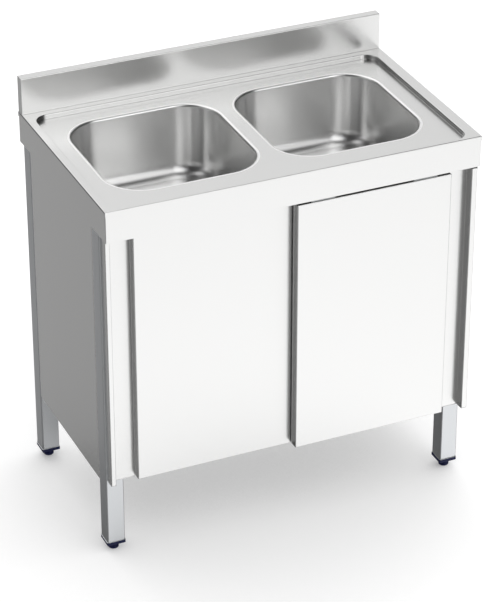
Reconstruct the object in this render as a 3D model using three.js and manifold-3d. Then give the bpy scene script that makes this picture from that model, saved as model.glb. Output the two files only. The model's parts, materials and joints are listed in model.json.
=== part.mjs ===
// Kitchen sink unit: a folded worktop with two pressed bowls, on a cabinet with two sliding doors.
// Millimetres, +Z up, front towards -Y. The origin is on the floor, under the middle of the unit.
// Every place below is measured from the floor and the front left corner of the worktop, and one
// group moves the whole unit to its origin.
import * as THREE from "three";
import { mergeVertices } from "three/addons/utils/BufferGeometryUtils.js";
import Module from "manifold-3d";

const wasm = await Module();
wasm.setup();

// Overall
const unitLength = 850;
const unitDepth = 508;
const worktopHeight = 853;
const gap = 0.3; // between pieces that touch or are welded together

// Worktop
const worktopSheet = 1.5;
const apronHeight = 72;
const edgeBandHeight = 11;
const apronFrontInset = 2;
const apronSideInset = 1.5;
const upstandHeight = 83;
const upstandThickness = 22;
const upstandEndInset = 1.75;
const recessDepth = 10.5;
const recessCornerRadius = 30;
const recessLeftMargin = 19;
const recessRightMargin = 27;
const recessFrontMargin = 8;
const recessBackMargin = 19.5; // to the front face of the upstand

// Bowls
const bowlCornerRadius = 82;
const bowlDepth = 160; // from the recessed deck to the edge of the floor
const bowlSheet = 1.2;
const bowlLipRadius = 5;
const bowlFlangeWidth = 10;
const bowlTaper = 6;
const bowlFloorFillet = 22;
const bowlFloorFall = 4;
const bowlFrontMargin = 80;
const bowlBackMargin = 90;
const leftBowlMargin = 62;
const rightBowlMargin = 76.5;
const bowlSpacing = 45.5; // between the two bowls

// Drains
const drainSeatRadius = 39;
const drainFlangeRadius = 35;
const drainFlangeHeight = 2;
const drainFlangeRim = 1;
const drainFlangeBevel = 2;
const drainThreadRadius = 23.9;
const drainBoreRadius = 21;
const drainMouthRadius = 22.9;
const drainConeDepth = 4;
const drainConeRadius = 22.4;
const drainTailLength = 52;
const drainRunning = 0.5; // between the tail and what surrounds it
const gasketRadius = 34;
const gasketThickness = 3;
const drainNutRadius = 35;
const drainNutHeight = 14;
const drainNutSides = 8;
const strainerClearance = 0.5;
const strainerThickness = 1.6;
const strainerHoleRadius = 2;
const strainerHoleCircle = 14;
const strainerHoleCount = 10;
const strainerKnobRadius = 4;
const strainerKnobHeight = 12;
const strainerGripRadius = 7;
const strainerGripThickness = 3;

// Legs and feet
const legSide = 40;
const legWall = 1.5;
const frontLegSetback = 46.6; // from the front of the worktop
const backLegSetback = 18; // from the back of the worktop
const footHeight = 17; // from the floor to the underside of the plastic insert
const insertFlangeHeight = 8.5;
const insertFlangeProud = 0.7;
const insertPlugHeight = 30;
const studRadius = 5;
const studLength = 45;
const studRunning = 0.4;
const padRadius = 11.5;
const padBaseHeight = 7;
const padChamfer = 1.5;
const padNutSides = 6;

// Cabinet
const panelBottom = 167;
const panelSheet = 1.2;
const panelFold = 15;
const panelGroove = 0.6; // open line between a panel and the legs beside it
const panelRecess = 0.5; // how far a panel lies behind the outer faces of its legs
const panelTopClearance = 3;
const shelfBelowDoors = 1; // how far its lower edge lies below the doors
const shelfFold = 30;
const shelfSheet = 1.5;
const railWidth = 15;
const railHeight = 28;
const railSheet = 1.5;
const backRailWidth = 20;

// Sliding doors
const trackPlane = 22.7; // middle of the track's web, from the front of the worktop
const doorNearFace = 2.3; // from the middle of the web to the face of either door
const doorThickness = 18.5;
const doorSheet = 1.2;
const doorBottom = 185;
const doorTopGap = 4; // below the apron
const leftDoorEdge = 68.5;
const rightDoorEdge = 68; // from the right end of the unit
const doorMeetingLine = unitLength / 2; // left edge of the right door
const doorOverlap = 20;
const doorTravel = doorMeetingLine - 105;
const linerFold = 5;
const doorGrooveWidth = 6.5;
const doorGrooveDepth = 15;
const doorGrooveEnd = 4;

// Front posts, each with a strip that fills the gap beside its door
const postSheet = 1.5;
const postBottom = 183;
const postTopGap = 2; // below the apron
const leftPostMargin = 7.5;
const leftPostWidth = 11;
const rightPostMargin = 6.5;
const rightPostWidth = 13.5;
const rightPostDepth = 22.6;
const postReturn = 30;
const stripOverlap = 7.5; // behind the door

// Track, rollers and hangers
const trackEndMargin = 22;
const trackWeb = 2;
const trackFlangeWidth = 27;
const trackFlangeThickness = 2;
const axleDrop = 28.7; // from the underside of the deck to the rollers' axles
const ledgeThickness = 2;
const ledgeReach = 10.4;
const beadHeight = 2.5;
const beadWidth = 2.2;
const rollerPlane = 8.8; // from the middle of the web to the middle of a roller
const rollerWidth = 7;
const rollerTread = 9.5;
const rollerFlange = 11.5;
const rollerGroove = 3;
const rollerFlare = 0.4;
const rollerRunning = 0.2;
const axleRadius = 3;
const axleRunning = 0.3;
const axleHeadRadius = 4.5;
const axleHeadThickness = 1;
const rollerSideplay = 0.3;
const hangerPlate = 2;
const hangerWidth = 36;
const hangerFootLength = 56;
const hangerFootWidth = 12.5;
const hangerTop = 10; // above the axle
const hangerInset = 60; // from the edge of the door to the axle
const stopLength = 10;
const stopHeight = 13;
const stopWidth = 5.8;
const stopGap = 0.6;

// Bottom guide
const guideLeft = doorMeetingLine + 3;
const guideLength = 28;
const guideSheet = 1.5;
const guideRise = 15;
const guideFront = 8;
const guideDoorGap = 1.2;
const guideRunning = 0.5;
const guideBlockHeight = 13;
const leftGuideBlockLength = 10.5;
const rightGuideBlockLength = 20;
const guideBlockEnd = 1.5;

// Fineness of the round shapes
const cornerSteps = 6;
const lipSteps = 3;
const roundSides = 24;
const holeSides = 12;
const cutOverrun = 1; // how far a cut runs past the faces that it goes through

// Heights and places that follow from the sizes above
const apronBottom = worktopHeight - apronHeight;
const deckTop = worktopHeight - recessDepth;
const deckUnder = deckTop - worktopSheet;
const upstandTop = worktopHeight + upstandHeight;
const upstandFront = unitDepth - upstandThickness;
const frameTop = deckUnder - gap;
const axleHeight = frameTop - axleDrop;
const legBottom = footHeight + insertFlangeHeight;
const legInset = apronSideInset + worktopSheet + gap;
const legXs = { left: legInset, right: unitLength - legInset - legSide };
const legYs = { front: frontLegSetback, back: unitDepth - backLegSetback - legSide };
const panelTop = frameTop - panelTopClearance;
const doorTop = apronBottom - doorTopGap;
const leftDoor = { x0: leftDoorEdge, x1: doorMeetingLine + doorOverlap, side: 1 };
const rightDoor = { x0: doorMeetingLine, x1: unitLength - rightDoorEdge, side: -1 };
const bowlLength = (unitLength - leftBowlMargin - rightBowlMargin - bowlSpacing) / 2;
const bowlWidth = unitDepth - bowlFrontMargin - bowlBackMargin;
const bowlFloor = deckTop - bowlDepth;
const drainSeat = bowlFloor - bowlFloorFall;
const drainHoleRadius = drainThreadRadius + drainRunning;
const bowlCentres = {
  left: leftBowlMargin + bowlLength / 2,
  right: unitLength - rightBowlMargin - bowlLength / 2,
};
const bowlCentreY = bowlFrontMargin + bowlWidth / 2;

// Colours and finishes
const finishes = {
  satinSteel: { color: 0xd9dad8, roughness: 0.34, metalness: 0.9 },
  tubeSteel: { color: 0xb9bdc0, roughness: 0.4, metalness: 0.85 },
  bowlSteel: { color: 0xc9cac8, roughness: 0.26, metalness: 0.95 },
  zincSteel: { color: 0xb4b8ba, roughness: 0.45, metalness: 0.85 },
  aluminium: { color: 0xc3c6c8, roughness: 0.4, metalness: 0.85 },
  navyPlastic: { color: 0x1b2a5c, roughness: 0.5, metalness: 0 },
  whiteNylon: { color: 0xe8e6df, roughness: 0.5, metalness: 0 },
  blackRubber: { color: 0x26272a, roughness: 0.85, metalness: 0 },
  greyPlastic: { color: 0x6f7376, roughness: 0.55, metalness: 0 },
  deadeningBoard: { color: 0xcdb98f, roughness: 0.95, metalness: 0 },
};

const unit = new THREE.Group();
unit.position.set(-unitLength / 2, -unitDepth / 2, 0);

// A closed geometry as a solid that can be joined and cut.
function solidOf(geometry) {
  const bare = geometry.clone();
  bare.deleteAttribute("normal");
  bare.deleteAttribute("uv");
  const merged = mergeVertices(bare, 1e-4);
  const vertProperties = new Float32Array(merged.attributes.position.array);
  const triVerts = new Uint32Array(merged.index.array);
  return new wasm.Manifold(new wasm.Mesh({ numProp: 3, vertProperties, triVerts }));
}

// The geometry of a solid.
function geometryOf(solid) {
  const mesh = solid.getMesh();
  const geometry = new THREE.BufferGeometry();
  geometry.setAttribute("position", new THREE.BufferAttribute(mesh.vertProperties, 3));
  geometry.setIndex(new THREE.BufferAttribute(mesh.triVerts, 1));
  return geometry;
}

// Adds one named piece, from a geometry or a solid, in one of the finishes.
function addPiece(name, shape, finish) {
  const geometry = shape.isBufferGeometry ? shape : geometryOf(shape);
  const faceted = geometry.index ? geometry.toNonIndexed() : geometry;
  faceted.computeVertexNormals();
  const mesh = new THREE.Mesh(faceted, new THREE.MeshStandardMaterial(finishes[finish]));
  mesh.name = name;
  unit.add(mesh);
}

// A box between two corners.
function block(x0, x1, y0, y1, z0, z1) {
  const box = new THREE.BoxGeometry(x1 - x0, y1 - y0, z1 - z0);
  return box.translate((x0 + x1) / 2, (y0 + y1) / 2, (z0 + z1) / 2);
}

// A rectangle with round corners.
function roundedRectangle(x0, x1, y0, y1, radius) {
  const shape = new THREE.Shape();
  shape.absarc(x1 - radius, y0 + radius, radius, -Math.PI / 2, 0);
  shape.absarc(x1 - radius, y1 - radius, radius, 0, Math.PI / 2);
  shape.absarc(x0 + radius, y1 - radius, radius, Math.PI / 2, Math.PI);
  shape.absarc(x0 + radius, y0 + radius, radius, Math.PI, Math.PI * 1.5);
  return shape;
}

// A flat outline raised from one height to another.
function prism(shape, z0, z1) {
  const settings = { depth: z1 - z0, bevelEnabled: false, curveSegments: cornerSteps };
  return new THREE.ExtrudeGeometry(shape, settings).translate(0, 0, z0);
}

// A polygon as a shape.
function polygon(points) {
  return new THREE.Shape(points.map(([x, y]) => new THREE.Vector2(x, y)));
}

// A section drawn in Y and Z, drawn out along X.
function lengthways(shape, x0, x1) {
  const settings = { depth: x1 - x0, bevelEnabled: false };
  const turn = new THREE.Matrix4().makeBasis(
    new THREE.Vector3(0, 1, 0),
    new THREE.Vector3(0, 0, 1),
    new THREE.Vector3(1, 0, 0),
  );
  return new THREE.ExtrudeGeometry(shape, settings).applyMatrix4(turn).translate(x0, 0, 0);
}

// A folded sheet's section: one face follows the line, and the metal lies to the left of it.
function foldedSheet(line, thickness) {
  const corners = line.map(([x, y]) => new THREE.Vector2(x, y));
  const along = corners.slice(1).map((p, i) => p.clone().sub(corners[i]).normalize());
  const back = corners.map((corner, i) => {
    const before = along[Math.max(i - 1, 0)];
    const after = along[Math.min(i, along.length - 1)];
    const left = new THREE.Vector2(-before.y - after.y, before.x + after.x);
    left.multiplyScalar(2 / left.lengthSq());
    return corner.clone().add(left.multiplyScalar(thickness));
  });
  return new THREE.Shape([...corners, ...back.reverse()]);
}

// A turned piece about an upright axis, from a closed section of [radius, height] points.
function turned(section, x, y, z, sides = roundSides) {
  const loop = [...section, section[0]].map(([r, h]) => new THREE.Vector2(r, h));
  const lathe = new THREE.LatheGeometry(loop, sides);
  return lathe.rotateX(Math.PI / 2).translate(x, y, z);
}

// An upright rod with flat sides.
function rod(radius, z0, z1, x, y, sides = roundSides) {
  const cylinder = new THREE.CylinderGeometry(radius, radius, z1 - z0, sides);
  return cylinder.rotateX(Math.PI / 2).translate(x, y, (z0 + z1) / 2);
}

// A rod that lies along Y.
function crossRod(radius, y0, y1, x, z, sides = roundSides) {
  const cylinder = new THREE.CylinderGeometry(radius, radius, y1 - y0, sides);
  return cylinder.translate(x, (y0 + y1) / 2, z);
}

// The outline of a bowl grown by a margin.
function bowlOutline(centreX, margin) {
  const halfLength = bowlLength / 2 + margin;
  const halfWidth = bowlWidth / 2 + margin;
  return roundedRectangle(
    centreX - halfLength,
    centreX + halfLength,
    bowlCentreY - halfWidth,
    bowlCentreY + halfWidth,
    bowlCornerRadius + margin,
  );
}

// The outline of the recess in the worktop grown by a margin.
function recessOutline(margin) {
  return roundedRectangle(
    recessLeftMargin - margin,
    unitLength - recessRightMargin + margin,
    recessFrontMargin - margin,
    upstandFront - recessBackMargin + margin,
    recessCornerRadius + margin,
  );
}

// Worktop: aprons on four sides, a proud edge band, a hollow upstand and the recess for the bowls.
function worktop() {
  const t = worktopSheet;
  const topUnder = worktopHeight - t;
  const left = apronSideInset;
  const right = unitLength - apronSideInset;
  const back = unitDepth;
  const bandBottom = worktopHeight - edgeBandHeight;
  const band = solidOf(block(0, unitLength, 0, back, bandBottom, worktopHeight));
  const apron = solidOf(block(left, right, apronFrontInset, back, apronBottom, topUnder));
  const upstand = solidOf(
    block(upstandEndInset, unitLength - upstandEndInset, upstandFront, back, topUnder, upstandTop),
  );
  const inside = solidOf(
    block(left + t, right - t, apronFrontInset + t, back - t, apronBottom - t, topUnder),
  );
  const upstandInside = solidOf(
    block(
      upstandEndInset + t,
      unitLength - upstandEndInset - t,
      upstandFront + t,
      back - t,
      topUnder - t,
      upstandTop - t,
    ),
  );
  const pan = solidOf(prism(recessOutline(t), deckUnder, topUnder + t / 2));
  const recess = solidOf(prism(recessOutline(0), deckTop, worktopHeight + t));
  let body = band.add(apron).add(upstand).subtract(inside).subtract(upstandInside);
  body = body.add(pan).subtract(recess);
  for (const centreX of Object.values(bowlCentres)) {
    const opening = prism(bowlOutline(centreX, bowlLipRadius + gap), deckUnder - t, deckTop + t);
    body = body.subtract(solidOf(opening));
  }
  return body;
}

// One ring of points round a bowl: a rounded rectangle, or a circle where all three sizes agree.
function bowlRing(halfLength, halfWidth, radius, z) {
  const points = [];
  for (let corner = 0; corner < 4; corner += 1) {
    const signX = corner === 0 || corner === 3 ? 1 : -1;
    const signY = corner < 2 ? 1 : -1;
    for (let step = 0; step <= cornerSteps; step += 1) {
      const angle = ((corner + step / cornerSteps) * Math.PI) / 2;
      const x = signX * (halfLength - radius) + radius * Math.cos(angle);
      const y = signY * (halfWidth - radius) + radius * Math.sin(angle);
      points.push(new THREE.Vector3(x, y, z));
    }
  }
  return points;
}

// A closed surface through a loop of rings that hold the same number of points.
function loopOfRings(rings) {
  const count = rings[0].length;
  const vertices = rings.flat().flatMap((p) => [p.x, p.y, p.z]);
  const faces = [];
  rings.forEach((ring, i) => {
    const near = i * count;
    const far = ((i + 1) % rings.length) * count;
    for (let j = 0; j < count; j += 1) {
      const k = (j + 1) % count;
      faces.push(near + j, near + k, far + j);
      faces.push(near + k, far + k, far + j);
    }
  });
  const geometry = new THREE.BufferGeometry();
  geometry.setAttribute("position", new THREE.Float32BufferAttribute(vertices, 3));
  geometry.setIndex(faces);
  return geometry;
}

// Bowl: a flange under the deck, a round lip, walls that draw in a little and a floor that falls
// to a flat seat round the drain hole. An inset is how far a ring lies inside the bowl's outline.
function bowl(centreX) {
  const t = bowlSheet;
  const flangeTop = deckUnder - gap;
  const inset = (distance, z) =>
    bowlRing(
      bowlLength / 2 - distance,
      bowlWidth / 2 - distance,
      bowlCornerRadius - distance,
      z,
    );
  const circle = (radius, z) => bowlRing(radius, radius, radius, z);
  const quarter = (steps) =>
    Array.from({ length: steps + 1 }, (_, i) => ((i / steps) * Math.PI) / 2);
  const fillet = (radius) => (angle) =>
    inset(
      bowlTaper + bowlFloorFillet - radius * Math.cos(angle),
      bowlFloor + bowlFloorFillet - radius * Math.sin(angle),
    );
  const lip = (angle) =>
    inset(
      bowlLipRadius * (Math.sin(angle) - 1),
      deckTop - bowlLipRadius * (1 - Math.cos(angle)),
    );
  const flangeEdge = -(bowlLipRadius + bowlFlangeWidth);
  const rings = [
    inset(flangeEdge, flangeTop),
    inset(-bowlLipRadius, flangeTop),
    ...quarter(lipSteps).map(lip),
    ...quarter(cornerSteps).map(fillet(bowlFloorFillet)),
    circle(drainSeatRadius, drainSeat),
    circle(drainHoleRadius, drainSeat),
    circle(drainHoleRadius, drainSeat - t),
    circle(drainSeatRadius, drainSeat - t),
    ...quarter(cornerSteps).reverse().map(fillet(bowlFloorFillet + t)),
    inset(-t, flangeTop - t),
    inset(flangeEdge, flangeTop - t),
  ];
  return loopOfRings(rings).translate(centreX, bowlCentreY, 0);
}

// Drain: the flanged waste, its strainer, and the gasket and nut that hold it under the bowl.
function addDrain(side) {
  const x = bowlCentres[side];
  const y = bowlCentreY;
  const seatUnder = drainSeat - bowlSheet - gap;
  const waste = [
    [drainThreadRadius, -drainTailLength],
    [drainThreadRadius, gap],
    [drainFlangeRadius, gap],
    [drainFlangeRadius, gap + drainFlangeRim],
    [drainFlangeRadius - drainFlangeBevel, gap + drainFlangeHeight],
    [drainMouthRadius, gap + drainFlangeRim],
    [drainConeRadius, -drainConeDepth],
    [drainBoreRadius, -drainConeDepth],
    [drainBoreRadius, -drainTailLength],
  ];
  addPiece(`drain_waste_${side}`, turned(waste, x, y, drainSeat), "bowlSteel");

  const plateBottom = drainSeat - drainConeDepth + gap;
  const plateTop = plateBottom + strainerThickness;
  const gripBottom = plateTop + strainerKnobHeight - strainerGripThickness;
  let strainer = solidOf(rod(drainConeRadius - strainerClearance, plateBottom, plateTop, x, y));
  const stem = rod(strainerKnobRadius, plateBottom, gripBottom + gap, x, y, holeSides);
  const grip = rod(strainerGripRadius, gripBottom, gripBottom + strainerGripThickness, x, y);
  strainer = strainer.add(solidOf(stem)).add(solidOf(grip));
  for (let i = 0; i < strainerHoleCount; i += 1) {
    const angle = (i / strainerHoleCount) * Math.PI * 2;
    const holeX = x + strainerHoleCircle * Math.cos(angle);
    const holeY = y + strainerHoleCircle * Math.sin(angle);
    const holeBottom = plateBottom - cutOverrun;
    const holeTop = plateTop + cutOverrun;
    const hole = rod(strainerHoleRadius, holeBottom, holeTop, holeX, holeY, holeSides);
    strainer = strainer.subtract(solidOf(hole));
  }
  addPiece(`drain_strainer_${side}`, strainer, "bowlSteel");

  const gasket = [
    [drainHoleRadius, -gasketThickness],
    [gasketRadius, -gasketThickness],
    [gasketRadius, 0],
    [drainHoleRadius, 0],
  ];
  addPiece(`drain_gasket_${side}`, turned(gasket, x, y, seatUnder), "blackRubber");

  const nutTop = seatUnder - gasketThickness - gap;
  const nutBottom = nutTop - drainNutHeight;
  const nut = solidOf(rod(drainNutRadius, nutBottom, nutTop, x, y, drainNutSides));
  const bore = solidOf(rod(drainHoleRadius, nutBottom - cutOverrun, nutTop + cutOverrun, x, y));
  addPiece(`drain_nut_${side}`, nut.subtract(bore), "greyPlastic");
}

// Leg: a square tube with a plastic insert in its foot, and a pad on a stud that screws up into it.
function addLeg(side, end) {
  const name = `${end}_${side}`;
  const x = legXs[side] + legSide / 2;
  const y = legYs[end] + legSide / 2;
  const square = (half) => [
    [x - half, y - half],
    [x + half, y - half],
    [x + half, y + half],
    [x - half, y + half],
  ];
  const section = polygon(square(legSide / 2));
  section.holes.push(polygon(square(legSide / 2 - legWall)));
  addPiece(`leg_${name}`, prism(section, legBottom, frameTop), "tubeSteel");

  const flangeHalf = legSide / 2 + insertFlangeProud;
  const plugHalf = legSide / 2 - legWall - gap;
  const flange = prism(polygon(square(flangeHalf)), footHeight, legBottom - gap);
  const plug = prism(polygon(square(plugHalf)), footHeight, legBottom + insertPlugHeight);
  const bore = rod(
    studRadius + studRunning,
    footHeight - cutOverrun,
    legBottom + insertPlugHeight + cutOverrun,
    x,
    y,
    holeSides,
  );
  const insert = solidOf(flange).add(solidOf(plug)).subtract(solidOf(bore));
  addPiece(`foot_insert_${name}`, insert, "navyPlastic");

  const padTop = footHeight - gap;
  const base = [
    [0, 0],
    [padRadius - padChamfer, 0],
    [padRadius, padChamfer],
    [padRadius, padBaseHeight],
    [0, padBaseHeight],
  ];
  const round = solidOf(turned(base, x, y, 0));
  const hexagon = solidOf(rod(padRadius, padBaseHeight - padChamfer, padTop, x, y, padNutSides));
  const stud = solidOf(rod(studRadius, padBaseHeight, padTop + studLength, x, y, holeSides));
  addPiece(`foot_pad_${name}`, round.add(hexagon).add(stud), "navyPlastic");
}

// A shallow pan of sheet: a box whose inside is cut away through one face.
function pan(x0, x1, y0, y1, z0, z1, hollow) {
  return solidOf(block(x0, x1, y0, y1, z0, z1)).subtract(solidOf(hollow));
}

// Side panel: a pan between the two legs of one side, open towards the cabinet.
function sidePanel(side) {
  const outer = legInset + panelRecess;
  const inner = outer + panelFold;
  const y0 = legYs.front + legSide + panelGroove;
  const y1 = legYs.back - panelGroove;
  const t = panelSheet;
  const hollow = block(outer + t, inner + t, y0 + t, y1 - t, panelBottom + t, panelTop - t);
  const left = pan(outer, inner, y0, y1, panelBottom, panelTop, hollow);
  return side === "left" ? left : left.mirror([1, 0, 0]).translate([unitLength, 0, 0]);
}

// Back panel: a pan between the two back legs, open towards the cabinet.
function backPanel() {
  const x0 = legXs.left + legSide + panelGroove;
  const x1 = legXs.right - panelGroove;
  const outer = legYs.back + legSide - panelRecess;
  const inner = outer - panelFold;
  const t = panelSheet;
  const hollow = block(x0 + t, x1 - t, inner - t, outer - t, panelBottom + t, panelTop - t);
  return pan(x0, x1, inner, outer, panelBottom, panelTop, hollow);
}

// Bottom shelf: a tray turned upside down, with its corners cut out round the legs.
function shelf() {
  const side = legInset + panelRecess + panelFold + gap;
  const front = legYs.front + panelGroove;
  const back = legYs.back + legSide - panelRecess - panelFold - gap;
  const notch = legInset + legSide + panelGroove;
  const frontNotch = legYs.front + legSide + panelGroove;
  const backNotch = legYs.back - panelGroove;
  const outline = (t) =>
    polygon([
      [notch + t, front + t],
      [unitLength - notch - t, front + t],
      [unitLength - notch - t, frontNotch + t],
      [unitLength - side - t, frontNotch + t],
      [unitLength - side - t, backNotch - t],
      [unitLength - notch - t, backNotch - t],
      [unitLength - notch - t, back - t],
      [notch + t, back - t],
      [notch + t, backNotch - t],
      [side + t, backNotch - t],
      [side + t, frontNotch + t],
      [notch + t, frontNotch + t],
    ]);
  const bottom = doorBottom - shelfBelowDoors;
  const top = bottom + shelfFold;
  const tray = solidOf(prism(outline(0), bottom, top));
  const hollow = prism(outline(shelfSheet), bottom - shelfSheet, top - shelfSheet);
  return tray.subtract(solidOf(hollow));
}

// Rail: an upside-down channel between the legs, just under the deck.
function rail(y0, width) {
  const section = foldedSheet(
    [
      [y0, frameTop - railHeight],
      [y0, frameTop],
      [y0 + width, frameTop],
      [y0 + width, frameTop - railHeight],
    ],
    -railSheet,
  );
  const x0 = legXs.left + legSide + panelGroove;
  return lengthways(section, x0, legXs.right - panelGroove);
}

// Front posts: each is one folded sheet that stands before its leg, level with the door beside it,
// and turns inwards as a strip that ends behind that door.
const stripBack = frontLegSetback - gap;
const postTop = apronBottom - postTopGap;

function leftPost() {
  const front = trackPlane + doorNearFace;
  const inner = leftPostMargin + leftPostWidth;
  const line = [
    [leftPostMargin, stripBack],
    [leftPostMargin, front],
    [inner, front],
    [inner, stripBack - postSheet],
    [leftDoor.x0 + stripOverlap, stripBack - postSheet],
  ];
  return prism(foldedSheet(line, postSheet), postBottom, postTop);
}

function rightPost() {
  const front = trackPlane - doorNearFace - doorThickness;
  const outer = unitLength - rightPostMargin;
  const inner = outer - rightPostWidth;
  const strip = front + rightPostDepth;
  const line = [
    [rightDoor.x1 - stripOverlap, strip],
    [inner, strip],
    [inner, front],
    [outer, front],
    [outer, stripBack],
    [outer - postReturn, stripBack],
  ];
  return prism(foldedSheet(line, postSheet), postBottom, postTop);
}

// Track: one web under the deck with a ledge on each side. A bead on each ledge carries the rollers.
const beadTop = axleHeight - rollerTread - rollerRunning;
const ledgeTop = beadTop - beadHeight;

function track() {
  const flangeBottom = frameTop - trackFlangeThickness;
  const half = [
    [ledgeReach, ledgeTop - ledgeThickness],
    [ledgeReach, ledgeTop],
    [rollerPlane + beadWidth / 2, ledgeTop],
    [rollerPlane + beadWidth / 2, beadTop],
    [rollerPlane - beadWidth / 2, beadTop],
    [rollerPlane - beadWidth / 2, ledgeTop],
    [trackWeb / 2, ledgeTop],
    [trackWeb / 2, flangeBottom],
    [trackFlangeWidth / 2, flangeBottom],
    [trackFlangeWidth / 2, frameTop],
  ];
  const back = half.map(([reach, z]) => [trackPlane + reach, z]);
  const front = half.map(([reach, z]) => [trackPlane - reach, z]).reverse();
  return lengthways(polygon([...back, ...front]), trackEndMargin, unitLength - trackEndMargin);
}

// The Y of a distance from the track's web, behind it for the left door and before it for the right.
function fromWeb(door, distance) {
  return trackPlane + door.side * distance;
}

// A box between two distances from the track's web.
function webBlock(door, x0, x1, near, far, z0, z1) {
  const ys = [fromWeb(door, near), fromWeb(door, far)];
  return block(x0, x1, Math.min(...ys), Math.max(...ys), z0, z1);
}

// Roller: a wheel with a groove that sits on the track's bead. Its axle lies along Y.
function roller(door, x) {
  const half = rollerWidth / 2;
  const groove = rollerGroove / 2;
  const section = [
    [axleRadius + axleRunning, -half],
    [rollerFlange, -half],
    [rollerFlange, -groove - rollerFlare],
    [rollerTread, -groove],
    [rollerTread, groove],
    [rollerFlange, groove + rollerFlare],
    [rollerFlange, half],
    [axleRadius + axleRunning, half],
  ];
  const upright = turned(section, 0, 0, 0);
  return upright.rotateX(Math.PI / 2).translate(x, fromWeb(door, rollerPlane), axleHeight);
}

// Hanger: a foot on the door's top edge, an upright plate and the axle with its head.
function hanger(door, x) {
  const plateNear = rollerPlane + rollerWidth / 2 + rollerSideplay;
  const plateFar = plateNear + hangerPlate;
  const headFar = rollerPlane - rollerWidth / 2 - rollerSideplay;
  const headNear = headFar - axleHeadThickness;
  const footBottom = doorTop + gap;
  const footTop = footBottom + hangerPlate;
  const halfFoot = hangerFootLength / 2;
  const halfPlate = hangerWidth / 2;
  const footNear = doorNearFace + (doorThickness - hangerFootWidth) / 2;
  const foot = webBlock(
    door,
    x - halfFoot,
    x + halfFoot,
    footNear,
    footNear + hangerFootWidth,
    footBottom,
    footTop,
  );
  const plate = webBlock(
    door,
    x - halfPlate,
    x + halfPlate,
    plateNear,
    plateFar,
    footBottom,
    axleHeight + hangerTop,
  );
  const rodBetween = (radius, near, far) => {
    const ys = [fromWeb(door, near), fromWeb(door, far)];
    return crossRod(radius, Math.min(...ys), Math.max(...ys), x, axleHeight, holeSides);
  };
  const axle = rodBetween(axleRadius, headNear, plateFar);
  const head = rodBetween(axleHeadRadius, headNear, headFar);
  return solidOf(foot).add(solidOf(plate)).add(solidOf(axle)).add(solidOf(head));
}

// Door: a folded front skin, a liner that closes its back, and a deadening board between them. A
// groove in the lower edge runs over the bottom guide.
function addDoor(name, door) {
  const t = doorSheet;
  const x0 = door.x0;
  const x1 = door.x1;
  const faces = [fromWeb(door, doorNearFace), fromWeb(door, doorNearFace + doorThickness)];
  const front = Math.min(...faces);
  const back = Math.max(...faces);
  const middle = (front + back) / 2;
  const hollow = block(x0 + t, x1 - t, front + t, back + t, doorBottom + t, doorTop - t);
  const groove = block(
    x0 + doorGrooveEnd,
    x1 - doorGrooveEnd,
    middle - doorGrooveWidth / 2,
    middle + doorGrooveWidth / 2,
    doorBottom - t,
    doorBottom + doorGrooveDepth,
  );
  const skin = pan(x0, x1, front, back, doorBottom, doorTop, hollow).subtract(solidOf(groove));
  addPiece(`${name}_skin`, skin, "satinSteel");

  const edge = t + gap;
  const linerInside = block(
    x0 + edge + t,
    x1 - edge - t,
    back - linerFold - t,
    back - t,
    doorBottom + edge + t,
    doorTop - edge - t,
  );
  const liner = pan(
    x0 + edge,
    x1 - edge,
    back - linerFold,
    back,
    doorBottom + edge,
    doorTop - edge,
    linerInside,
  );
  addPiece(`${name}_liner`, liner, "satinSteel");

  const inset = edge + t + gap;
  const board = block(
    x0 + inset,
    x1 - inset,
    front + edge,
    back - edge,
    doorBottom + doorGrooveDepth + gap,
    doorTop - inset,
  );
  addPiece(`${name}_board`, board, "deadeningBoard");

  const hangers = { a: x0 + hangerInset, b: x1 - hangerInset };
  for (const [letter, x] of Object.entries(hangers)) {
    addPiece(`${name}_hanger_${letter}`, hanger(door, x), "zincSteel");
    addPiece(`${name}_roller_${letter}`, roller(door, x), "whiteNylon");
  }

  // Rubber stops on the ledge, where the rollers end their travel on either side
  const reach = rollerFlange + stopGap;
  const stops =
    door.side > 0
      ? { closed: hangers.a - reach - stopLength, open: hangers.b + doorTravel + reach }
      : { closed: hangers.b + reach, open: hangers.a - doorTravel - reach - stopLength };
  for (const [place, x] of Object.entries(stops)) {
    const near = trackWeb / 2 + gap;
    const bottom = ledgeTop + gap;
    const stop = webBlock(
      door,
      x,
      x + stopLength,
      near,
      near + stopWidth,
      bottom,
      bottom + stopHeight,
    );
    addPiece(`${name}_stop_${place}`, stop, "blackRubber");
  }
}

// Bottom guide: a bracket on the shelf's front fold with a nylon block for each door's groove.
function addGuide() {
  const top = doorBottom - guideDoorGap;
  const back = legYs.front + panelGroove - gap;
  const section = foldedSheet(
    [
      [guideFront, top - guideSheet],
      [back, top - guideSheet],
      [back, top - guideSheet + guideRise],
    ],
    guideSheet,
  );
  addPiece("door_guide_bracket", lengthways(section, guideLeft, guideLeft + guideLength), "zincSteel");
  const blocks = [
    ["left", leftDoor, guideLeft + guideBlockEnd, leftGuideBlockLength],
    ["right", rightDoor, guideLeft + guideBlockEnd * 2, rightGuideBlockLength],
  ];
  for (const [side, door, x, length] of blocks) {
    const middle = doorNearFace + doorThickness / 2;
    const half = doorGrooveWidth / 2 - guideRunning;
    const bottom = top + gap;
    const piece = webBlock(
      door,
      x,
      x + length,
      middle - half,
      middle + half,
      bottom,
      bottom + guideBlockHeight,
    );
    addPiece(`door_guide_${side}`, piece, "whiteNylon");
  }
}

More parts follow.
